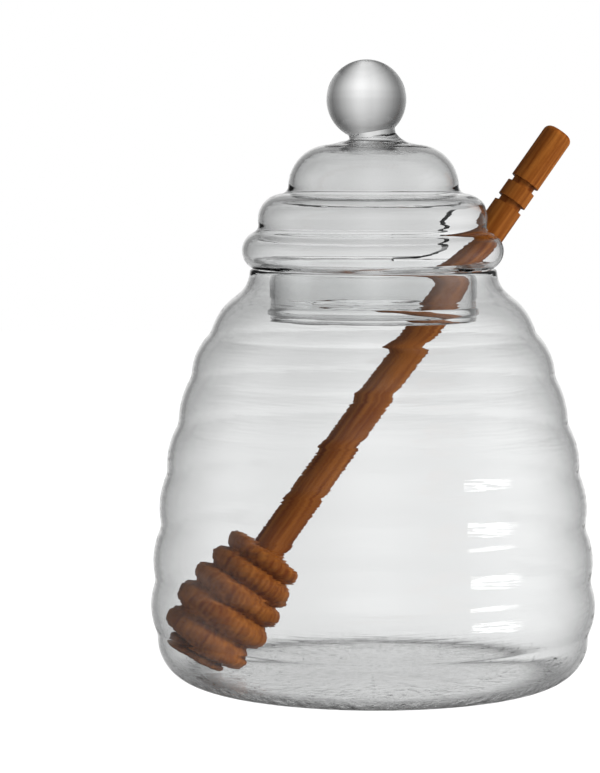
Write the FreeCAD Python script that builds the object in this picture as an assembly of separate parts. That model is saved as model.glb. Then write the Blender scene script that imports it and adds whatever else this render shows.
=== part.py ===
"""Glass beehive honey jar with a notched lid and a turned wooden dipper.

Millimetres, +Z up.  The origin is the centre of the jar's base, on the surface
that it stands on.  The handle comes out through the notch on the lid's +X side.
"""
import FreeCAD, Part
import math
import os

V = FreeCAD.Vector
Z_AXIS = V(0, 0, 1)

# ---- jar: driving sizes -------------------------------------------------------
jar_wall = 1.3                # square to the surface
jar_floor = 1.2
foot_radius = 50.5            # at the valley under the lowest ring
foot_height = 11.1            # of that valley
heel_width = 9.9              # how far in from the foot the flat base starts
valley_round = 5.0            # rounding of the valleys between the rings, outside
mouth_radius = 27.5           # clear opening of the neck
neck_height = 4.9             # from the last ring to the top of the rim
neck_taper = 0.6              # how much wider the neck is at its foot
rings_height = 80.4           # from the foot's valley to the neck
# The valley over each ring, as shares of the rings' height and of the way out
# from the neck to the foot, and how far the ring bulges from its chord.
jar_rings = [
    (0.154, 1.018, 1.40),
    (0.311, 0.954, 1.22),
    (0.469, 0.888, 1.08),
    (0.612, 0.762, 0.98),
    (0.749, 0.618, 0.82),
    (0.876, 0.402, 1.20),
    (1.000, 0.000, 1.60),
]

# ---- lid: driving sizes -------------------------------------------------------
lid_wall = 1.2
seat_gap = 0.15               # between the lid's underside and the rim that carries it
collar_gap = 3.3              # between the locating collar and the neck, all round
collar_depth = 11.4           # below the lid's underside
collar_fillet = 1.2
waist_round = 1.8             # rounding of the waists between the tiers, outside
# The two lower tiers: (rise, waist over it as a share of the rim's radius, bulge)
lid_tiers = [
    (8.8, 0.935, 3.40),
    (8.45, 0.700, 3.35),
]
dome_rise = 11.5
dome_bulge = 3.4
stem_radius = 5.5             # waist between the dome and the ball
flare_width = 4.8             # the concave flare from the waist out to the dome
flare_rise = 1.9
flare_hollow = (0.44, 0.36)   # middle of the flare's curve, as shares of its width and rise
ball_radius = 9.3
ball_rise = 10.54             # from the top of the dome to the ball's centre
knob_lean = 9.2               # degrees towards -X: the ball was fused on by hand

# ---- notch in the lid: room round the handle that comes out through it ---------
notch_top_gap = 3.4           # over the handle where it leaves the lid
notch_top_gaps = (9.3, 6.3)   # beside the handle at the notch's top, clockwise side first
notch_foot_gaps = (12.3, 18.3)
notch_corner = 2.5
notch_drop = 1.1              # the notch's foot, below the lid's underside
slot_gap = 5.3                # beside the handle, in the slot down through the collar
cutter_overrun = 5.0          # past the widest tier
cutter_lap = 1.0              # of the slot's cutter into the window's

# ---- dipper: driving sizes ----------------------------------------------------
handle_reach = 40.0           # past the middle of the rim, to the top end
handle_foot_radius = 3.9      # where the handle leaves the head
handle_top_radius = 3.6
tip_round = 1.6               # rounding of the handle's top end
groove_width = 1.6
groove_depth = 0.8
groove_places = (15.4, 20.9)  # from the top end to the middle of each groove
# Turned discs of the head, from its free end up: (thickness, radius)
head_discs = [
    (2.4, 7.6),
    (6.4, 11.0),
    (6.6, 12.1),
    (5.6, 11.6),
    (5.4, 10.5),
    (4.6, 9.5),
]
core_share = 0.84             # core between two discs, as a share of the smaller disc
cut_share = 0.24              # cut between two discs, as a share of the disc's thickness
head_azimuth = 187.5          # where the head lies on the floor
lean_azimuth = 20.3           # where the handle leans on the rim
rest_gap = 0.12               # dipper to floor and dipper to rim
head_wall_gap = 0.6           # lowest disc to the foot of the wall


def point(radius, height):
    return V(radius, 0, height)


def line(a, b):
    return Part.LineSegment(a, b).toShape()


def arc(a, middle, b):
    return Part.Arc(a, middle, b).toShape()


def round_arc(centre, radius, start, end):
    """Arc about a centre in the profile plane, between two angles in degrees."""
    def at(angle):
        turn = math.radians(angle)
        return centre + V(math.cos(turn), 0, math.sin(turn)) * radius
    return arc(at(start), at((start + end) / 2), at(end))


def revolved(edges):
    """Solid of revolution of a closed profile, its edges given in order."""
    return Part.Face(Part.Wire(edges)).revolve(V(0, 0, 0), Z_AXIS, 360)


class Bulge:
    """A wall's outward arc from a low point to a high one."""

    def __init__(self, low, high, bulge):
        chord = high - low
        out = V(chord.z, 0, -chord.x).normalize()
        self.low = low
        self.high = high
        self.radius = (chord.Length ** 2 / 4 + bulge ** 2) / (2 * bulge)
        self.centre = (low + high) * 0.5 - out * (self.radius - bulge)

    def towards(self, corner, depth=0.0):
        """The point of the arc, or of its parallel inside, that faces a corner."""
        return self.centre + (corner - self.centre).normalize() * (self.radius - depth)

    def at_height(self, height, depth):
        """The point of the parallel at a height."""
        climb = height - self.centre.z
        return point(self.centre.x + math.sqrt((self.radius - depth) ** 2 - climb ** 2), height)

    def edge(self, low, high, depth):
        return arc(low, self.towards((low + high) * 0.5, depth), high)


class Valley:
    """The rounded valley between two bulges, an arc that touches both from outside."""

    def __init__(self, below, above, rounding):
        to_below = below.radius + rounding
        to_above = above.radius + rounding
        climb = above.centre - below.centre
        apart = climb.Length
        along = (to_below ** 2 - to_above ** 2 + apart ** 2) / (2 * apart)
        climb.normalize()
        out = V(climb.z, 0, -climb.x)
        self.centre = below.centre + climb * along + out * math.sqrt(to_below ** 2 - along ** 2)
        self.rounding = rounding

    def edge(self, low, high, depth):
        reach = self.rounding + depth
        middle = self.centre + ((low + high) * 0.5 - self.centre).normalize() * reach
        return arc(low, middle, high)


class Wall:
    """A wall of stacked bulges with rounded valleys, outside and parallel inside."""

    def __init__(self, start, steps, rounding):
        """The steps climb from the start point, each a (height, radius, bulge)."""
        self.bulges = []
        for height, radius, bulge in steps:
            end = point(radius, height)
            self.bulges.append(Bulge(start, end, bulge))
            start = end
        self.valleys = [
            Valley(below, above, rounding)
            for below, above in zip(self.bulges, self.bulges[1:])
        ]

    def edges(self, depth=0.0, low=None, high=None):
        """Edges from the wall's foot up, at a depth inside its face."""
        start = low or self.bulges[0].towards(self.bulges[0].low, depth)
        edges = []
        for below, valley, above in zip(self.bulges, self.valleys, self.bulges[1:]):
            leaves = below.towards(valley.centre, depth)
            meets = above.towards(valley.centre, depth)
            edges.append(below.edge(start, leaves, depth))
            edges.append(valley.edge(leaves, meets, depth))
            start = meets
        top = high or self.bulges[-1].towards(self.bulges[-1].high, depth)
        edges.append(self.bulges[-1].edge(start, top, depth))
        return edges


def heel_bulge(width, height):
    """How far an arc bulges from its chord when it leaves the flat base smoothly."""
    radius = (width ** 2 + height ** 2) / (2 * height)
    return radius - math.sqrt(radius ** 2 - (width ** 2 + height ** 2) / 4)


# ---- what follows from the sizes above -----------------------------------------
neck_foot_radius = mouth_radius + jar_wall + neck_taper
heel_foot = point(foot_radius - heel_width, 0)
jar_side = Wall(
    heel_foot,
    [(foot_height, foot_radius, heel_bulge(heel_width, foot_height))] + [
        (
            foot_height + up * rings_height,
            neck_foot_radius + out * (foot_radius - neck_foot_radius),
            bulge,
        )
        for up, out, bulge in jar_rings
    ],
    valley_round,
)
neck_foot = jar_side.bulges[-1].high
rim_top = neck_foot.z + neck_height
rim_shoulder = rim_top - jar_wall / 2
rim_middle = mouth_radius + jar_wall / 2

lid_base = rim_top + seat_gap
first_waist = lid_base + lid_tiers[0][0]
second_waist = first_waist + lid_tiers[1][0]
lid_side = Wall(
    point(rim_middle, lid_base),
    [
        (first_waist, lid_tiers[0][1] * rim_middle, lid_tiers[0][2]),
        (second_waist, lid_tiers[1][1] * rim_middle, lid_tiers[1][2]),
        (second_waist + dome_rise, stem_radius + flare_width, dome_bulge),
    ],
    waist_round,
)
seat_tier = lid_side.bulges[0]
dome_top = lid_side.bulges[-1].high
collar_radius = mouth_radius - collar_gap
head_length = sum(thickness for thickness, radius in head_discs)


def make_jar():
    """Jar: a flat floor, a rounded heel, the rings and a short neck with a round rim."""
    neck_outside = point(mouth_radius + jar_wall, rim_shoulder)
    neck_inside = point(mouth_radius, rim_shoulder)
    edges = [line(point(0, 0), heel_foot)]
    edges += jar_side.edges()
    edges.append(line(neck_foot, neck_outside))
    edges.append(arc(neck_outside, point(rim_middle, rim_top), neck_inside))
    throat = jar_side.bulges[-1].towards(neck_foot, jar_wall)
    edges.append(line(neck_inside, point(mouth_radius, throat.z + neck_taper)))
    edges.append(line(point(mouth_radius, throat.z + neck_taper), throat))

    # Inside, the lowest arc runs smoothly from the foot's valley into the floor.
    inside = jar_side.edges(jar_wall)[1:]
    heel = jar_side.bulges[0]
    corner = heel.towards(jar_side.valleys[0].centre, jar_wall)
    facing = (corner - heel.centre).normalize()
    radius = (corner.z - jar_floor) / (1 + facing.z)
    centre = corner - facing * radius
    angle = math.degrees(math.asin(facing.z))
    edges += reversed(inside)
    edges.append(round_arc(centre, radius, angle, -90))
    edges.append(line(point(centre.x, jar_floor), point(0, jar_floor)))
    edges.append(line(point(0, jar_floor), point(0, 0)))
    return revolved(edges)


def make_lid_shell():
    """Lid: three tiers of even wall that fold in at the foot to make the collar."""
    fillet_centre = point(collar_radius + collar_fillet, lid_base - collar_fillet)
    collar_foot = lid_base - collar_depth
    inner_fillet = collar_fillet + lid_wall
    collar_inside = collar_radius - lid_wall
    waist = point(stem_radius, dome_top.z + flare_rise)
    flare_middle = point(
        stem_radius + flare_width * flare_hollow[0],
        dome_top.z + flare_rise * flare_hollow[1],
    )
    fold = seat_tier.at_height(lid_base + lid_wall, lid_wall)
    ceiling = lid_side.bulges[-1].towards(dome_top, lid_wall)

    edges = [line(point(0, waist.z), waist), arc(waist, flare_middle, dome_top)]
    edges += reversed(lid_side.edges())
    edges.append(line(seat_tier.low, point(fillet_centre.x, lid_base)))
    edges.append(round_arc(fillet_centre, collar_fillet, 90, 180))
    edges.append(line(point(collar_radius, fillet_centre.z), point(collar_radius, collar_foot)))
    lip = arc(
        point(collar_radius, collar_foot),
        point(collar_radius - lid_wall / 2, collar_foot - lid_wall / 2),
        point(collar_inside, collar_foot),
    )
    edges.append(lip)
    edges.append(line(point(collar_inside, collar_foot), point(collar_inside, fillet_centre.z)))
    edges.append(round_arc(fillet_centre, inner_fillet, 180, 90))
    edges.append(line(point(fillet_centre.x, fold.z), fold))
    edges += lid_side.edges(lid_wall, low=fold)
    edges.append(line(ceiling, point(0, ceiling.z)))
    edges.append(line(point(0, ceiling.z), point(0, waist.z)))
    return revolved(edges)


def make_knob():
    """Solid ball on a short stem, leaning about the top of the dome."""
    stem = Part.makeCylinder(stem_radius, ball_rise, point(0, dome_top.z))
    ball = Part.makeSphere(ball_radius, point(0, dome_top.z + ball_rise))
    knob = stem.fuse(ball)
    knob.rotate(point(0, dome_top.z), V(0, 1, 0), -knob_lean)
    return knob


def make_notch():
    """Cutter for the handle's notch: a wide window, and a slot through the collar."""
    crossing, rise = where_handle_leaves()
    handle = handle_foot_radius
    top = crossing.z + handle / math.sqrt(1 - rise ** 2) + notch_top_gap
    foot = lid_base - notch_drop
    slot_foot = lid_base - collar_depth - lid_wall
    inner = collar_radius / 2
    outer = seat_tier.centre.x + seat_tier.radius + cutter_overrun

    def plate(corners):
        """A slab that runs outwards, from its outline across it."""
        ring = [V(inner, across, height) for across, height in corners]
        return Part.Face(Part.makePolygon(ring + ring[:1])).extrude(V(outer - inner, 0, 0))

    window = plate([
        (-handle - notch_foot_gaps[0], foot),
        (-handle - notch_top_gaps[0], top),
        (handle + notch_top_gaps[1], top),
        (handle + notch_foot_gaps[1], foot),
    ])
    upper_edges = [
        edge for edge in window.Edges
        if all(abs(vertex.Z - top) < 1e-6 for vertex in edge.Vertexes)
        and abs(edge.Vertexes[0].X - edge.Vertexes[1].X) > 1
    ]
    window = window.makeFillet(notch_corner, upper_edges)
    half = handle + slot_gap
    slot_top = foot + cutter_lap
    slot = plate([(-half, slot_foot), (-half, slot_top), (half, slot_top), (half, slot_foot)])
    cutter = window.fuse(slot)
    cutter.rotate(V(0, 0, 0), Z_AXIS, math.degrees(math.atan2(crossing.y, crossing.x)))
    return cutter


def make_lid():
    return make_lid_shell().fuse(make_knob()).cut(make_notch()).removeSplitter()


def axis_to_rim(foot, direction):
    """Distance from the dipper's axis to the circle that the rim is rounded about."""
    nearest = rim_middle
    for step in range(720):
        turn = math.radians(step / 2)
        on_circle = V(rim_middle * math.cos(turn), rim_middle * math.sin(turn), rim_shoulder)
        nearest = min(nearest, (on_circle - foot).cross(direction).Length)
    return nearest


def handle_radius_at(along, length):
    """The handle tapers evenly from the head to its top end."""
    share = (along - head_length) / (length - head_length)
    return handle_foot_radius + share * (handle_top_radius - handle_foot_radius)


def dipper_line():
    """Foot and direction of the dipper's axis as it stands in the jar, and its length.

    The free end's low edge rests on the floor near the wall, and the handle
    leans on the rim.  Foot and tilt depend on each other, so a few rounds
    settle both.
    """
    thickness, radius = head_discs[0]
    edge_radius = radius - cut_share * thickness
    floor_radius = foot_radius - jar_wall
    across = math.radians(head_azimuth)
    lean = math.radians(lean_azimuth)
    lean_out = mouth_radius - handle_foot_radius
    direction = V(0, 0, 1)
    for _ in range(40):
        rise = direction.z
        run = math.sqrt(1 - rise ** 2)
        low = max(edge_radius * run, radius * run - thickness / 2 * rise)
        foot_out = floor_radius - head_wall_gap - radius * rise
        foot = V(
            foot_out * math.cos(across),
            foot_out * math.sin(across),
            jar_floor + rest_gap + low,
        )
        on_rim = V(lean_out * math.cos(lean), lean_out * math.sin(lean), rim_shoulder)
        along = (on_rim - foot).Length
        length = along + handle_reach
        direction = (on_rim - foot).normalize()
        handle = handle_radius_at(along, length)
        clearance = axis_to_rim(foot, direction) - jar_wall / 2 - handle
        lean_out += clearance - rest_gap
    return foot, direction, length


def where_handle_leaves():
    """Where the handle's axis passes the lid's lowest waist, and the axis's rise."""
    foot, direction, length = dipper_line()
    waist = seat_tier.high.x
    flat = V(direction.x, direction.y, 0)
    halfway = -foot.dot(flat) / flat.dot(flat)
    nearest = foot + direction * halfway
    out = math.sqrt(waist ** 2 - nearest.x ** 2 - nearest.y ** 2) / flat.Length
    return nearest + direction * out, direction.z


def make_dipper():
    """Dipper turned about +Z from the origin, then laid on its line."""
    foot, direction, length = dipper_line()
    edges = []
    place = 0.0
    here = point(0, 0)
    for index, (thickness, radius) in enumerate(head_discs):
        next_radius = head_discs[index + 1][1] if index + 1 < len(head_discs) else radius
        cut = thickness * cut_share
        core = core_share * min(radius, next_radius)
        low = point(radius - cut, place) if index == 0 else point(radius - cut / 2, place + cut / 2)
        high = point(radius - cut / 2, place + thickness - cut / 2)
        edges.append(line(here, low))
        edges.append(arc(low, point(radius, place + thickness / 2), high))
        if index + 1 < len(head_discs):
            here = point(core, place + thickness)
        else:
            here = point(handle_foot_radius, place + thickness)
        edges.append(line(high, here))
        place += thickness

    half = groove_width / 2
    for groove in sorted(groove_places, reverse=True):
        middle = length - groove
        for at, depth in ((middle - half, 0), (middle - half, groove_depth),
                          (middle + half, groove_depth), (middle + half, 0)):
            there = point(handle_radius_at(at, length) - depth, at)
            edges.append(line(here, there))
            here = there
    shoulder = point(handle_top_radius, length - tip_round)
    edges.append(line(here, shoulder))
    slant = math.sqrt(0.5)
    tip = point(handle_top_radius - tip_round, length)
    corner = V(slant, 0, slant) * tip_round
    edges.append(arc(shoulder, point(tip.x, shoulder.z) + corner, tip))
    edges.append(line(tip, point(0, length)))
    edges.append(line(point(0, length), point(0, 0)))
    dipper = revolved(edges)

    dipper.Placement = FreeCAD.Placement(foot, FreeCAD.Rotation(Z_AXIS, direction))
    return dipper


def main():
    os.makedirs("parts", exist_ok=True)
    pieces = {"jar": make_jar(), "lid": make_lid(), "dipper": make_dipper()}
    for name, shape in pieces.items():
        solid = shape.Solids[0]
        print(name, len(shape.Solids), "solid,", round(solid.Volume), "mm3, valid", solid.isValid())
        box = solid.BoundBox
        print("   x", round(box.XMin, 2), round(box.XMax, 2),
              "y", round(box.YMin, 2), round(box.YMax, 2),
              "z", round(box.ZMin, 2), round(box.ZMax, 2))
        solid.exportStep("parts/" + name + ".step")


main()
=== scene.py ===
"""A blown-glass beehive honey jar, its notched lid and a turned wooden dipper.

Metres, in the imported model's frame: the jar stands on z = 0 about the Z axis,
the handle comes out towards +X and the camera looks along +Y.
"""
import math
import bpy
from mathutils import Matrix, Vector


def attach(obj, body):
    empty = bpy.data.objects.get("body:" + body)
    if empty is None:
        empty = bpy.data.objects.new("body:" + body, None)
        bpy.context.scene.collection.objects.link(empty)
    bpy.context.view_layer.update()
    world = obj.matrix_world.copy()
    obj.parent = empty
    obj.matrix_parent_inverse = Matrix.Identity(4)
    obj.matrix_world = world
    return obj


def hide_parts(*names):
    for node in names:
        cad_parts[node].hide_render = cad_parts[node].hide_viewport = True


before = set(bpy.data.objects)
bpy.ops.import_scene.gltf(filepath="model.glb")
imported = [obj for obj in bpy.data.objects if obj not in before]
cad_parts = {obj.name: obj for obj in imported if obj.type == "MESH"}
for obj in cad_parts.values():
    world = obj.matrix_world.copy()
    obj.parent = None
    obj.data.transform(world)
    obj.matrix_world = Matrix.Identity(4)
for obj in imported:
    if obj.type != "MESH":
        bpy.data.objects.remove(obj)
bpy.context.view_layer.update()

# ---- Camera -----------------------------------------------------------------
# A long lens a little above the jar's middle, looking slightly down and past
# the jar's left side, so that the dipper's handle has room on the right.
camera_away = 0.715
camera_height = 0.130
camera_down = math.radians(4.89)
camera_left = math.radians(1.37)
camera_lens = 142.8

bpy.ops.object.select_all(action="DESELECT")
bpy.ops.object.camera_add(
    location=(0, -camera_away, camera_height),
    rotation=(math.pi / 2 - camera_down, 0, camera_left),
)
camera = bpy.context.object
camera.name = "camera"
camera.data.lens = camera_lens
camera.data.sensor_width = 36
camera.data.clip_start = 0.01
bpy.context.scene.camera = camera

# ---- White stage and studio light ----------------------------------------------
# A white table, and walls seen through glass as white ahead of each side and grey
# in the corners and overhead. Glass mirrors a dark studio, white only behind the
# jar. Soft lights stand right and left, and a low louvred one at the right.
table_wide = 2.4
table_paper = 0.85
table_glow = 1.12
white_over_shadow = 0.9
room_grey = 0.38
# Pairs of place and tone: how squarely a direction faces a wall, how high it
# points from straight down at 0 to straight up at 1, and metres from the jar's axis.
corner_tones = [
    (0.70, 0.20), (0.80, 0.29), (0.86, 0.39), (0.927, 0.60), (0.966, 0.79), (0.992, 1.0),
]
height_tones = [
    (0.0, 0.78), (0.22, 0.80), (0.34, 0.92), (0.42, 1.0), (0.475, 0.93),
    (0.50, 0.84), (0.595, 0.72), (0.67, 0.58), (0.765, 0.40),
]
# The table's tones are a painted shadow of the jar, seen through glass: darker near its axis, with a
# dark ring painted under the foot, and greyer towards the table's edge.
painted_table_shadow_tones = [
    (0.0, 0.78), (0.030, 0.92), (0.037, 0.84), (0.0400, 0.28), (0.0445, 0.26),
    (0.0475, 0.78), (0.054, 0.93), (0.10, 0.97), (0.55, 1.0), (1.0, 0.89),
]
# Each goes between two places, and from one tone to another.
left_dimmer = (-0.09, 0.05, 0.86, 1.0)
dark_studio = (-1.0, 1.0, 0.01, 0.16)
white_behind = (0.90, 0.99, 0.0, 0.8)


def tone_steps(nodes, steps):
    """A ramp of grey tones, from pairs of position and tone."""
    ramp = nodes.new("ShaderNodeValToRGB")
    elements = ramp.color_ramp.elements
    while len(elements) < len(steps):
        elements.new(0.5)
    for element, (position, tone) in zip(elements, steps):
        element.position = position
        element.color = (tone, tone, tone, 1)
    return ramp


def figure(tree, operation, first, second=None):
    """One step of arithmetic on two sockets or numbers."""
    node = tree.nodes.new("ShaderNodeMath")
    node.operation = operation
    for socket, value in zip(node.inputs, (first, second)):
        if isinstance(value, (int, float)):
            socket.default_value = value
        elif value is not None:
            tree.links.new(value, socket)
    return node.outputs[0]


def passage(tree, value, start, end, low, high, kind="LINEAR"):
    """Goes from one number to another while a value goes from start to end."""
    node = tree.nodes.new("ShaderNodeMapRange")
    node.interpolation_type = kind
    for name, number in zip(("From Min", "From Max", "To Min", "To Max"), (start, end, low, high)):
        node.inputs[name].default_value = number
    tree.links.new(value, node.inputs["Value"])
    return node.outputs["Result"]


def walls_group():
    """How bright the room is in a direction, through glass and mirrored in it."""
    group = bpy.data.node_groups.new("white_walls", "ShaderNodeTree")
    group.interface.new_socket("Direction", in_out="INPUT", socket_type="NodeSocketVector")
    group.interface.new_socket("Through", in_out="OUTPUT", socket_type="NodeSocketFloat")
    group.interface.new_socket("Mirrored", in_out="OUTPUT", socket_type="NodeSocketFloat")
    nodes, links = group.nodes, group.links
    entry = nodes.new("NodeGroupInput")
    leave = nodes.new("NodeGroupOutput")
    parts = nodes.new("ShaderNodeSeparateXYZ")
    links.new(entry.outputs[0], parts.inputs[0])
    x, y, z = parts.outputs
    along_x = figure(group, "ABSOLUTE", x)
    along_y = figure(group, "ABSOLUTE", y)
    level = figure(group, "SQRT", figure(
        group, "ADD", figure(group, "MULTIPLY", x, x), figure(group, "MULTIPLY", y, y)))
    straight = figure(group, "DIVIDE", figure(group, "MAXIMUM", along_x, along_y), level)
    corners = tone_steps(nodes, corner_tones)
    links.new(straight, corners.inputs["Fac"])
    overhead = tone_steps(nodes, height_tones)
    half_up = figure(group, "MULTIPLY", z, 0.5)
    links.new(figure(group, "ADD", half_up, 0.5), overhead.inputs["Fac"])
    through = figure(group, "MULTIPLY", corners.outputs["Color"], overhead.outputs["Color"])
    through = figure(group, "MULTIPLY", through, passage(group, x, *left_dimmer))
    links.new(through, leave.inputs["Through"])
    studio = passage(group, x, *dark_studio)
    behind = passage(group, y, *white_behind, "SMOOTHSTEP")
    links.new(figure(group, "MAXIMUM", studio, behind), leave.inputs["Mirrored"])
    return group


white_walls = walls_group()


def seen_as(tree, ray):
    """One for a ray of this kind that comes straight from the eye, not from lit wood."""
    seen = tree.nodes.new("ShaderNodeLightPath")
    direct = figure(tree, "LESS_THAN", seen.outputs["Diffuse Depth"], 0.5)
    return figure(tree, "MULTIPLY", seen.outputs[ray], direct)


def by_ray(tree, ray, elsewhere, where_met):
    """One tone where a ray kind is met, and another elsewhere."""
    node = tree.nodes.new("ShaderNodeMix")
    tree.links.new(seen_as(tree, ray), node.inputs["Factor"])
    for socket, value in ((node.inputs["A"], elsewhere), (node.inputs["B"], where_met)):
        if isinstance(value, float):
            socket.default_value = value
        else:
            tree.links.new(value, socket)
    return node.outputs["Result"]


def white_table():
    """White as seen, with a faint shadow; through glass, a painted shadow near the jar and a dark
    ring painted under the foot.
    """
    material = bpy.data.materials.new("table_white")
    material.use_nodes = True
    tree = material.node_tree
    nodes, links = tree.nodes, tree.links
    nodes.clear()
    output = nodes.new("ShaderNodeOutputMaterial")
    place = nodes.new("ShaderNodeTexCoord")
    away = nodes.new("ShaderNodeVectorMath")
    away.operation = "LENGTH"
    # Painted shadow: through glass the table darkens near the jar, most in a ring under its foot.
    painted_jar_shadow = tone_steps(nodes, painted_table_shadow_tones)
    ray = nodes.new("ShaderNodeNewGeometry")
    onward = nodes.new("ShaderNodeVectorMath")
    onward.operation = "SCALE"
    onward.inputs["Scale"].default_value = -1.0
    walls = nodes.new("ShaderNodeGroup")
    walls.node_tree = white_walls
    in_glass = nodes.new("ShaderNodeEmission")
    as_seen = nodes.new("ShaderNodeEmission")
    as_seen.inputs["Strength"].default_value = table_glow
    paper = nodes.new("ShaderNodeBsdfDiffuse")
    paper.inputs["Color"].default_value = (table_paper, table_paper, table_paper, 1)
    keep_shadow = nodes.new("ShaderNodeMixShader")
    keep_shadow.inputs["Fac"].default_value = white_over_shadow
    seen_by_glass = nodes.new("ShaderNodeMixShader")
    seen_by_camera = nodes.new("ShaderNodeMixShader")
    links.new(place.outputs["Object"], away.inputs[0])
    links.new(away.outputs["Value"], painted_jar_shadow.inputs["Fac"])
    links.new(ray.outputs["Incoming"], onward.inputs[0])
    links.new(onward.outputs[0], walls.inputs["Direction"])
    through = figure(tree, "MULTIPLY", painted_jar_shadow.outputs["Color"], walls.outputs["Through"])
    through = figure(tree, "MULTIPLY", through, table_glow)
    links.new(
        by_ray(tree, "Is Transmission Ray", walls.outputs["Mirrored"], through),
        in_glass.inputs["Strength"],
    )
    links.new(paper.outputs[0], keep_shadow.inputs[1])
    links.new(as_seen.outputs[0], keep_shadow.inputs[2])
    links.new(
        figure(tree, "MAXIMUM", seen_as(tree, "Is Glossy Ray"), seen_as(tree, "Is Transmission Ray")),
        seen_by_glass.inputs["Fac"],
    )
    links.new(paper.outputs[0], seen_by_glass.inputs[1])
    links.new(in_glass.outputs[0], seen_by_glass.inputs[2])
    links.new(seen_as(tree, "Is Camera Ray"), seen_by_camera.inputs["Fac"])
    links.new(seen_by_glass.outputs[0], seen_by_camera.inputs[1])
    links.new(keep_shadow.outputs[0], seen_by_camera.inputs[2])
    links.new(seen_by_camera.outputs[0], output.inputs["Surface"])
    return material


bpy.ops.mesh.primitive_plane_add(size=table_wide)
table = bpy.context.object
table.name = "table"
table.data.materials.append(white_table())

room = bpy.data.worlds.new("room")
bpy.context.scene.world = room
room.use_nodes = True
tree = room.node_tree
facing = tree.nodes.new("ShaderNodeTexCoord")
walls = tree.nodes.new("ShaderNodeGroup")
walls.node_tree = white_walls
tree.links.new(facing.outputs["Generated"], walls.inputs["Direction"])
tone = by_ray(tree, "Is Glossy Ray", room_grey, walls.outputs["Mirrored"])
tone = by_ray(tree, "Is Transmission Ray", tone, walls.outputs["Through"])
tone = by_ray(tree, "Is Camera Ray", tone, 1.0)
tree.links.new(tone, tree.nodes["Background"].inputs["Strength"])
tree.nodes["Background"].inputs["Color"].default_value = (1, 1, 1, 1)


def soft_light(name, place, aim, width, height, watts):
    """A flat rectangular light that faces a spot, and that camera and glass don't show."""
    turn = (Vector(aim) - Vector(place)).to_track_quat("-Z", "Y").to_euler()
    bpy.ops.object.light_add(type="AREA", location=place, rotation=turn)
    lamp = bpy.context.object
    lamp.name = name
    lamp.data.shape = "RECTANGLE"
    lamp.data.size = width
    lamp.data.size_y = height
    lamp.data.energy = watts
    lamp.visible_camera = False
    lamp.visible_glossy = False
    lamp.visible_transmission = False
    return lamp


jar_middle = (0, 0, 0.07)
soft_light("right_light", (0.75, -0.30, 0.42), jar_middle, 0.42, 0.42, 8.5)
soft_light("left_light", (-0.70, -0.55, 0.60), jar_middle, 0.40, 0.40, 0.8)

# The louvred light: uneven thin strips, by height and thickness, which the glass
# mirrors and which shine in a narrow spread.
louvres = [
    (0.004, 0.005), (0.013, 0.003), (0.020, 0.006), (0.029, 0.003), (0.036, 0.005), (0.045, 0.004),
]
louvre_long = 0.10
louvre_glow = 2.2
for number, (height, thick) in enumerate(louvres):
    strip = soft_light(
        "louvre_" + str(number), (0.165, -0.100, height), (0, -0.02, height + 0.002),
        louvre_long, thick, louvre_glow * louvre_long * thick,
    )
    strip.rotation_euler.rotate_axis("Z", math.radians(-7))
    strip.visible_glossy = True
    strip.data.spread = math.radians(40)
bpy.context.scene.view_settings.view_transform = "Standard"
bpy.context.scene.cycles.transparent_max_bounces = 32
bpy.context.scene.cycles.transmission_bounces = 20
bpy.context.scene.cycles.glossy_bounces = 8
bpy.context.scene.cycles.max_bounces = 20

# ---- The jar --------------------------------------------------------------------
# Borosilicate glass, blown in a ringed mould: seven rings over a rounded foot,
# an even wall, a flat floor and a short neck with a fire-rounded rim.
mm = 0.001
jar_wall = 1.3 * mm
jar_floor = 1.2 * mm
foot_radius = 50.5 * mm
foot_height = 11.1 * mm
heel_width = 9.9 * mm
valley_round = 5.0 * mm
mouth_radius = 27.5 * mm
neck_foot = 29.4 * mm
rings_height = 80.4 * mm
neck_height = 4.9 * mm
# Each ring: its top valley's share of the height and of the way out, and its bulge.
jar_rings = [
    (0.154, 1.018, 1.40),
    (0.311, 0.954, 1.22),
    (0.469, 0.888, 1.08),
    (0.612, 0.762, 0.98),
    (0.749, 0.618, 0.82),
    (0.876, 0.402, 1.20),
    (1.000, 0.000, 1.60),
]
# Corners at the top of each side that a soft bend replaces, and where it ends.
neck_ease = 4
bend_steps = 10
bend_off = 0.1 * mm
bend_below_rim = (1.4 * mm, 1.7 * mm)
ring_steps = 12
valley_steps = 7
flat_share = 0.6
glass_index = 1.47
round_steps = 192
weld_distance = 2e-6


class Bow:
    """The outward arc of one blown ring."""

    def __init__(self, low, high, bulge):
        self.low, self.high = Vector(low), Vector(high)
        chord = self.high - self.low
        out = Vector((chord.y, -chord.x)).normalized()
        self.radius = (chord.length ** 2 / 4 + bulge ** 2) / (2 * bulge)
        self.centre = (self.low + self.high) / 2 - out * (self.radius - bulge)


def swept(centre, radius, start, end, steps):
    """Points on a circle from over one spot to over another, the short way round."""
    first = (start - centre).normalized() * radius
    sweep = first.angle_signed(end - centre)
    return [centre + Matrix.Rotation(-sweep * n / steps, 2) @ first for n in range(steps + 1)]


def round_points(centre, radius, start, end, steps):
    """Points on an arc in the profile plane, between two angles in degrees."""
    points = []
    for step in range(steps + 1):
        angle = math.radians(start + (end - start) * step / steps)
        points.append(Vector(centre) + Vector((math.cos(angle), math.sin(angle))) * radius)
    return points


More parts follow.
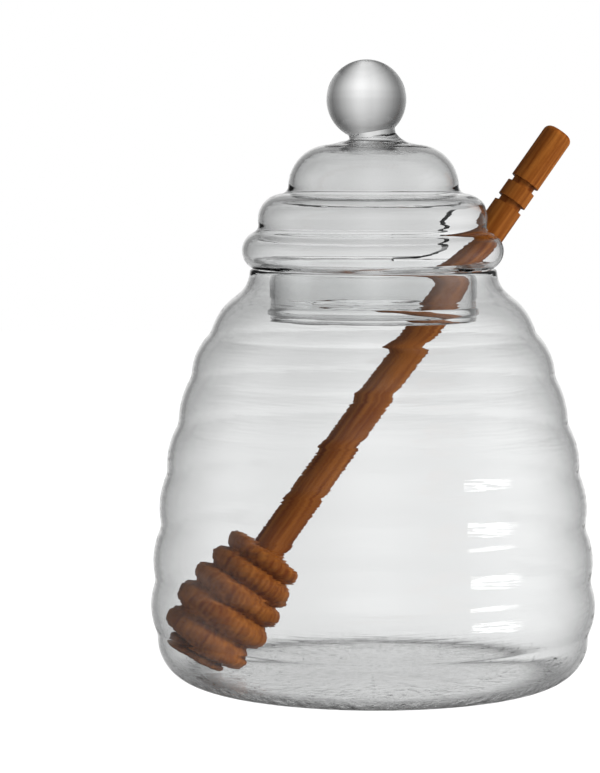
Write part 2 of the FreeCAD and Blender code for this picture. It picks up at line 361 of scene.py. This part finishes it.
def ringed_side(start, rings, hollow_round, inset):
    """A blown side from its foot up, or its parallel inside, with rounded valleys."""
    bows = []
    for height, radius, bulge in rings:
        bows.append(Bow(start, (radius, height), bulge))
        start = (radius, height)
    points = []
    spot = bows[0].low
    for below, above in zip(bows, bows[1:]):
        climb = above.centre - below.centre
        reach = below.radius + hollow_round
        other_reach = above.radius + hollow_round
        along = (reach ** 2 - other_reach ** 2 + climb.length ** 2) / (2 * climb.length)
        out = Vector((climb.y, -climb.x)).normalized()
        hollow = below.centre + climb.normalized() * along
        hollow += out * math.sqrt(reach ** 2 - along ** 2)
        leaves = below.centre + (hollow - below.centre).normalized() * below.radius
        meets = above.centre + (hollow - above.centre).normalized() * above.radius
        points += swept(below.centre, below.radius - inset, spot, leaves, ring_steps)
        points += swept(hollow, hollow_round + inset, leaves, meets, valley_steps)[1:-1]
        spot = meets
    last = bows[-1]
    points += swept(last.centre, last.radius - inset, spot, last.high, ring_steps)
    return points


def eased_into_neck(side, neck_line, end):
    """Bends a side's top softly into the neck, in place of its last stretch."""
    start = side[-neck_ease]
    onward = (start - side[-neck_ease - 1]).normalized()
    corner = start + onward * (neck_line - start.x) / onward.x
    bend = []
    for step in range(1, bend_steps + 1):
        share = step / bend_steps
        bend.append(start.lerp(corner, share).lerp(corner.lerp(Vector(end), share), share))
    return side[:1 - neck_ease] + bend


def turned(name, profile, steps=round_steps):
    """A closed body, spun about Z from its profile of (radius, height) points."""
    corners = [Vector((point[0], 0, point[1])) for point in profile]
    bpy.ops.object.select_all(action="DESELECT")
    bpy.ops.mesh.primitive_plane_add(size=mm)
    body = bpy.context.object
    body.name = name
    bpy.ops.object.mode_set(mode="EDIT")
    bpy.ops.mesh.select_mode(type="VERT")
    bpy.ops.mesh.merge(type="CENTER")
    bpy.ops.transform.translate(value=corners[0])
    for before, after in zip(corners, corners[1:]):
        bpy.ops.mesh.extrude_region_move(TRANSFORM_OT_translate={"value": after - before})
    bpy.ops.mesh.select_all(action="SELECT")
    bpy.ops.mesh.spin(steps=steps, angle=math.tau, center=(0, 0, 0), axis=(0, 0, 1))
    bpy.ops.mesh.select_all(action="SELECT")
    bpy.ops.mesh.remove_doubles(threshold=weld_distance)
    bpy.ops.mesh.normals_make_consistent(inside=False)
    bpy.ops.object.mode_set(mode="OBJECT")
    bpy.ops.object.shade_smooth_by_angle(angle=math.radians(40))
    return body


def pick_corners(wanted):
    """Leaves the active piece in edit mode with only the wanted corners selected."""
    bpy.ops.object.mode_set(mode="EDIT")
    bpy.ops.mesh.select_mode(type="VERT")
    bpy.ops.mesh.select_all(action="DESELECT")
    bpy.ops.object.mode_set(mode="OBJECT")
    for corner in bpy.context.object.data.vertices:
        corner.select = wanted(corner.co)
    bpy.ops.object.mode_set(mode="EDIT")


def clear_glass(name, floor_height):
    """Clear blown glass, faintly wavy, and finely rippled near its floor."""
    material = bpy.data.materials.new(name)
    material.use_nodes = True
    nodes, links = material.node_tree.nodes, material.node_tree.links
    shader = nodes["Principled BSDF"]
    shader.inputs["Base Color"].default_value = (0.925, 0.93, 0.93, 1)
    shader.inputs["Roughness"].default_value = 0.0
    shader.inputs["Transmission Weight"].default_value = 1.0
    shader.inputs["IOR"].default_value = glass_index
    place = nodes.new("ShaderNodeTexCoord")
    flat_waves = nodes.new("ShaderNodeMapping")
    flat_waves.inputs["Scale"].default_value = (70, 70, 850)
    waves = nodes.new("ShaderNodeTexNoise")
    waves.inputs["Scale"].default_value = 1.0
    waves.inputs["Detail"].default_value = 1.5
    wave_bump = nodes.new("ShaderNodeBump")
    wave_bump.inputs["Strength"].default_value = 1.0
    wave_bump.inputs["Distance"].default_value = 0.03 * mm
    ripples = nodes.new("ShaderNodeTexNoise")
    ripples.inputs["Scale"].default_value = 330
    ripples.inputs["Detail"].default_value = 3.0
    low_down = nodes.new("ShaderNodeSeparateXYZ")
    ripple_bump = nodes.new("ShaderNodeBump")
    ripple_bump.inputs["Distance"].default_value = 0.40 * mm
    lamp_ray = nodes.new("ShaderNodeLightPath")
    open_way = nodes.new("ShaderNodeBsdfTransparent")
    open_way.inputs["Color"].default_value = (0.93, 0.93, 0.93, 1)
    mixed = nodes.new("ShaderNodeMixShader")
    links.new(place.outputs["Object"], flat_waves.inputs["Vector"])
    links.new(flat_waves.outputs["Vector"], waves.inputs["Vector"])
    links.new(waves.outputs["Fac"], wave_bump.inputs["Height"])
    links.new(place.outputs["Object"], ripples.inputs["Vector"])
    links.new(place.outputs["Object"], low_down.inputs[0])
    on_floor = passage(
        material.node_tree, low_down.outputs["Z"], floor_height + 3 * mm, floor_height, 0.0, 1.0)
    links.new(on_floor, ripple_bump.inputs["Strength"])
    links.new(ripples.outputs["Fac"], ripple_bump.inputs["Height"])
    links.new(wave_bump.outputs["Normal"], ripple_bump.inputs["Normal"])
    links.new(ripple_bump.outputs["Normal"], shader.inputs["Normal"])
    links.new(lamp_ray.outputs["Is Shadow Ray"], mixed.inputs["Fac"])
    links.new(shader.outputs[0], mixed.inputs[1])
    links.new(open_way.outputs[0], mixed.inputs[2])
    links.new(mixed.outputs[0], nodes["Material Output"].inputs["Surface"])
    return material


heel_radius = (heel_width ** 2 + foot_height ** 2) / (2 * foot_height)
heel_bulge = heel_radius - math.sqrt(heel_radius ** 2 - (heel_width ** 2 + foot_height ** 2) / 4)
heel_foot = (foot_radius - heel_width, 0)
jar_steps = [(foot_height, foot_radius, heel_bulge)]
for up, out, bulge in jar_rings:
    width = neck_foot + out * (foot_radius - neck_foot)
    jar_steps.append((foot_height + up * rings_height, width, bulge * mm))
outside = ringed_side(heel_foot, jar_steps, valley_round, 0)
inside = ringed_side(heel_foot, jar_steps, valley_round, jar_wall)[ring_steps:]

# Inside, the floor curves up smoothly into the foot's valley.
corner = inside[0]
facing_up = (corner - Vector((heel_foot[0], heel_radius))).normalized().y
floor_round = (corner.y - jar_floor) / (1 + facing_up)
floor_centre = (corner.x - floor_round * math.sqrt(1 - facing_up ** 2), jar_floor + floor_round)
rim_round = jar_wall / 2
rim_top = foot_height + rings_height + neck_height
rim_centre = (mouth_radius + rim_round, rim_top - rim_round)
neck_outside = mouth_radius + jar_wall
outside = eased_into_neck(
    outside, neck_foot - bend_off, (neck_outside + bend_off, rim_top - bend_below_rim[0]))
inside = eased_into_neck(
    inside, neck_foot - jar_wall - bend_off, (mouth_radius, rim_top - bend_below_rim[1]))

jar_profile = [(0, 0), (heel_foot[0] * flat_share, 0)]
jar_profile += outside
jar_profile += round_points(rim_centre, rim_round, 0, 180, 8)
jar_profile += reversed(inside)
jar_profile += round_points(
    floor_centre, floor_round, math.degrees(math.asin(facing_up)), -90, 12)[1:]
jar_profile += [(floor_centre[0] * flat_share, jar_floor), (0, jar_floor)]
jar = turned("jar_glass_body", jar_profile)
jar.data.materials.append(clear_glass("jar_glass", jar_floor))
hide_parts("jar")
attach(jar, "root")

# ---- The lid ----------------------------------------------------------------------
# Blown in three tiers, its foot folded in to make the collar that sits in the neck.
# The solid ball was fused on by hand and leans a little; the notch for the handle
# was cut from the soft glass.
lid_wall = 1.2 * mm
lid_base = rim_top + 0.15 * mm
rim_middle = mouth_radius + rim_round
waist_round = 1.8 * mm
waist_thicker = 0.9 * mm
stem_radius = 5.5 * mm
dome_edge = 10.3 * mm
flare_rise = 1.9 * mm
# The flare at the stem's foot: steps out from the stem, and heights over the dome.
stem_flare = [(0.75 * mm, 1.25 * mm), (2.1 * mm, 0.68 * mm), (3.4 * mm, 0.28 * mm)]
ball_radius = 9.3 * mm
ball_rise = 10.54 * mm
knob_lean = math.radians(9.2)
knob_bends = (1.0 * mm, 1.6 * mm, 2.2 * mm)
knob_reach = 12 * mm
collar_radius = 24.2 * mm
collar_foot = lid_base - 11.4 * mm
fold_round = 1.2 * mm
# The collar draws in over the bead at its foot, which is rolled a little outwards.
bead_top = collar_foot + 3.4 * mm
bead_round = 1.35 * mm
bead_inset = 0.9 * mm
draw_high = 0.9 * mm
draw_in = 0.25 * mm
lip_in = 0.1 * mm
lid_steps = [
    (lid_base + 8.8 * mm, 0.935 * rim_middle, 3.40 * mm),
    (lid_base + 17.25 * mm, 0.700 * rim_middle, 3.35 * mm),
    (lid_base + 28.75 * mm, dome_edge, 3.40 * mm),
]
dome_top = lid_steps[-1][0]
ball_centre = (0, dome_top + ball_rise)
ball_start = -math.degrees(math.acos(stem_radius / ball_radius))
crease = ball_centre[1] - math.sqrt(ball_radius ** 2 - stem_radius ** 2)
fold_centre = (collar_radius + fold_round, lid_base - fold_round)

lid_profile = round_points(ball_centre, ball_radius, 90, ball_start, 36)
lid_profile += [
    (stem_radius, (crease + dome_top + flare_rise) / 2),
    (stem_radius, dome_top + flare_rise),
]
lid_profile += [(stem_radius + out, dome_top + up) for out, up in stem_flare]
lid_profile += reversed(ringed_side((rim_middle, lid_base), lid_steps, waist_round, 0))
lid_profile += round_points(fold_centre, fold_round, 90, 180, 6)
lid_profile += [(collar_radius, bead_top + draw_high), (collar_radius - draw_in, bead_top)]
lid_profile += round_points(
    (collar_radius - bead_inset, (bead_top + collar_foot) / 2), bead_round, 60, -60, 8)
lid_profile += round_points(
    (collar_radius - lid_wall / 2 - lip_in, collar_foot), lid_wall / 2, 0, -180, 6)
lid_profile += [
    (collar_radius - lid_wall - lip_in, bead_top - mm),
    (collar_radius - lid_wall, bead_top + draw_high),
]
lid_profile += round_points(fold_centre, fold_round + lid_wall, 180, 90, 8)
lid_inside = ringed_side(
    (rim_middle, lid_base), lid_steps, waist_round + waist_thicker, lid_wall)
lid_profile += [point for point in lid_inside if point.y > lid_base + lid_wall]
lid_profile += [(0, lid_profile[-1][1])]
lid = turned("lid_glass_body", lid_profile)

# The ball leans over its stem, which bends a little at each ring of corners.
for level in knob_bends:
    pick_corners(lambda spot: spot.z > dome_top + level and spot.xy.length < knob_reach)
    bpy.ops.transform.rotate(
        value=knob_lean / len(knob_bends), orient_axis="Y", center_override=(0, 0, dome_top))
    bpy.ops.object.mode_set(mode="OBJECT")

# The notch: a window with rounded top corners, and a slot down through the collar.
notch_turn = math.radians(19.1)
window_foot = lid_base - 1.1 * mm
window_top = 111.3 * mm
window_low = (-16.2 * mm, 22.2 * mm)
window_high = (-13.2 * mm, 10.2 * mm)
slot_half = 9.2 * mm
notch_from = 12.1 * mm
notch_to = 40 * mm
notch_corner = 2.5 * mm
cutter_lap = mm
cutter_overrun = 2 * mm


def notch_block(name, low, high, foot, top):
    """A block that runs outwards along X, its sides leaning in to its top."""
    bpy.ops.object.select_all(action="DESELECT")
    bpy.ops.mesh.primitive_cube_add(size=1)
    block = bpy.context.object
    block.name = name
    for corner in block.data.vertices:
        across = high if corner.co.z > 0 else low
        corner.co = (
            notch_to if corner.co.x > 0 else notch_from,
            across[1] if corner.co.y > 0 else across[0],
            top if corner.co.z > 0 else foot,
        )
    return block


window = notch_block("notch_window", window_low, window_high, window_foot, window_top)
for side in (-1, 1):
    pick_corners(lambda spot: spot.z > window_foot + cutter_lap and spot.y * side > 0)
    bpy.ops.mesh.bevel(offset=notch_corner, segments=8)
    bpy.ops.object.mode_set(mode="OBJECT")
slot_sides = (-slot_half, slot_half)
slot = notch_block(
    "notch_slot", slot_sides, slot_sides, collar_foot - cutter_overrun, window_foot + cutter_lap)
for cutter in (window, slot):
    bpy.ops.object.select_all(action="DESELECT")
    cutter.select_set(True)
    bpy.context.view_layer.objects.active = cutter
    cutter.rotation_euler = (0, 0, notch_turn)
    bpy.ops.object.transform_apply(location=True, rotation=True, scale=True)
    cut = lid.modifiers.new("notch", "BOOLEAN")
    cut.operation = "DIFFERENCE"
    cut.solver = "EXACT"
    cut.object = cutter
    bpy.context.view_layer.objects.active = lid
    bpy.ops.object.modifier_apply(modifier="notch")
    bpy.data.objects.remove(cutter)
bpy.ops.object.select_all(action="DESELECT")
lid.select_set(True)
bpy.context.view_layer.objects.active = lid
bpy.ops.object.shade_smooth_by_angle(angle=math.radians(35))

lid.data.materials.append(clear_glass("lid_glass", 0))
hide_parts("lid")
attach(lid, "root")

# ---- The dipper --------------------------------------------------------------------
# Beech, turned in one piece: a head of rounded discs that holds the honey, and a
# tapering handle with two square grooves near its domed end.
dipper_foot = Vector((-42.06, -5.54, 5.41)) * mm
dipper_end = Vector((44.05, 12.69, 128.26)) * mm
dipper_length = (dipper_end - dipper_foot).length
handle_foot = 3.9 * mm
handle_top = 3.6 * mm
# Each disc of the head, from its foot up: its thickness and radius in millimetres.
head_discs = [(2.4, 7.6), (6.4, 11.0), (6.6, 12.1), (5.6, 11.6), (5.4, 10.5), (4.6, 9.5)]
groove_places = (20.9 * mm, 15.4 * mm)
groove_half = 0.8 * mm
groove_deep = 0.8 * mm
tip_round = 1.6 * mm
# Shares: a disc's thickness cut in on each side, its edge's swell, and the cores
# at the head's foot and between two discs.
disc_cut = 0.12
disc_swell = 0.9
foot_core = 0.8
disc_core = 0.84
edge_turn = 70
edge_steps = 8
dipper_steps = 96


def disc_points(low, thickness, radius, core):
    """A disc's rounded edge, cut in on both sides to the core."""
    cut = thickness * disc_cut
    middle = low + thickness / 2
    half = thickness / 2 - cut
    points = [(core, low)]
    for step in range(edge_steps + 1):
        angle = math.radians(-edge_turn + 2 * edge_turn * step / edge_steps)
        lift = math.sin(angle) / math.sin(math.radians(edge_turn))
        swell = (1 - math.cos(angle)) * disc_swell * half
        points.append((radius - swell, middle + half * lift))
    return points


dipper_profile = [(0, 0)]
low = 0.0
for number, (thickness, radius) in enumerate(head_discs):
    if number == 0:
        core = foot_core * radius * mm
    else:
        core = disc_core * min(radius, head_discs[number - 1][1]) * mm
    dipper_profile += disc_points(low, thickness * mm, radius * mm, core)
    low += thickness * mm
head_length = low
dipper_profile += [(handle_foot, head_length)]


def handle_radius(along):
    """The handle's radius at a distance from the dipper's foot; it tapers evenly."""
    share = (along - head_length) / (dipper_length - head_length)
    return handle_foot + share * (handle_top - handle_foot)


for place in groove_places:
    for side in (-1, 1):
        at = dipper_length - place + side * groove_half
        edge = [(handle_radius(at), at), (handle_radius(at) - groove_deep, at)]
        dipper_profile += edge if side < 0 else reversed(edge)
dipper_profile += round_points(
    (handle_top - tip_round, dipper_length - tip_round), tip_round, 0, 90, 6)
dipper_profile += [(0, dipper_length)]
dipper = turned("dipper_turned", dipper_profile, dipper_steps)
lay_down = (dipper_end - dipper_foot).to_track_quat("Z", "Y").to_matrix().to_4x4()
dipper.matrix_world = Matrix.Translation(dipper_foot) @ lay_down
bpy.ops.object.transform_apply(location=True, rotation=True, scale=True)


def turned_wood():
    """Oiled beech, with fine dark streaks along the dipper."""
    material = bpy.data.materials.new("turned_wood")
    material.use_nodes = True
    nodes, links = material.node_tree.nodes, material.node_tree.links
    shader = nodes["Principled BSDF"]
    shader.inputs["Roughness"].default_value = 0.5
    shader.inputs["Specular IOR Level"].default_value = 0.12
    place = nodes.new("ShaderNodeTexCoord")
    along = nodes.new("ShaderNodeMapping")
    along.inputs["Rotation"].default_value = lay_down.inverted().to_euler()
    stretched = nodes.new("ShaderNodeMapping")
    stretched.inputs["Scale"].default_value = (850, 850, 45)
    streaks = nodes.new("ShaderNodeTexNoise")
    streaks.inputs["Scale"].default_value = 1.0
    streaks.inputs["Detail"].default_value = 4.0
    colours = nodes.new("ShaderNodeValToRGB")
    colours.color_ramp.elements[0].position = 0.3
    colours.color_ramp.elements[0].color = (0.130, 0.028, 0.0012, 1)
    colours.color_ramp.elements[1].position = 0.7
    colours.color_ramp.elements[1].color = (0.310, 0.104, 0.0170, 1)
    links.new(place.outputs["Object"], along.inputs["Vector"])
    links.new(along.outputs["Vector"], stretched.inputs["Vector"])
    links.new(stretched.outputs["Vector"], streaks.inputs["Vector"])
    links.new(streaks.outputs["Fac"], colours.inputs["Fac"])
    links.new(colours.outputs["Color"], shader.inputs["Base Color"])
    return material


dipper.data.materials.append(turned_wood())
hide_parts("dipper")
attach(dipper, "root")
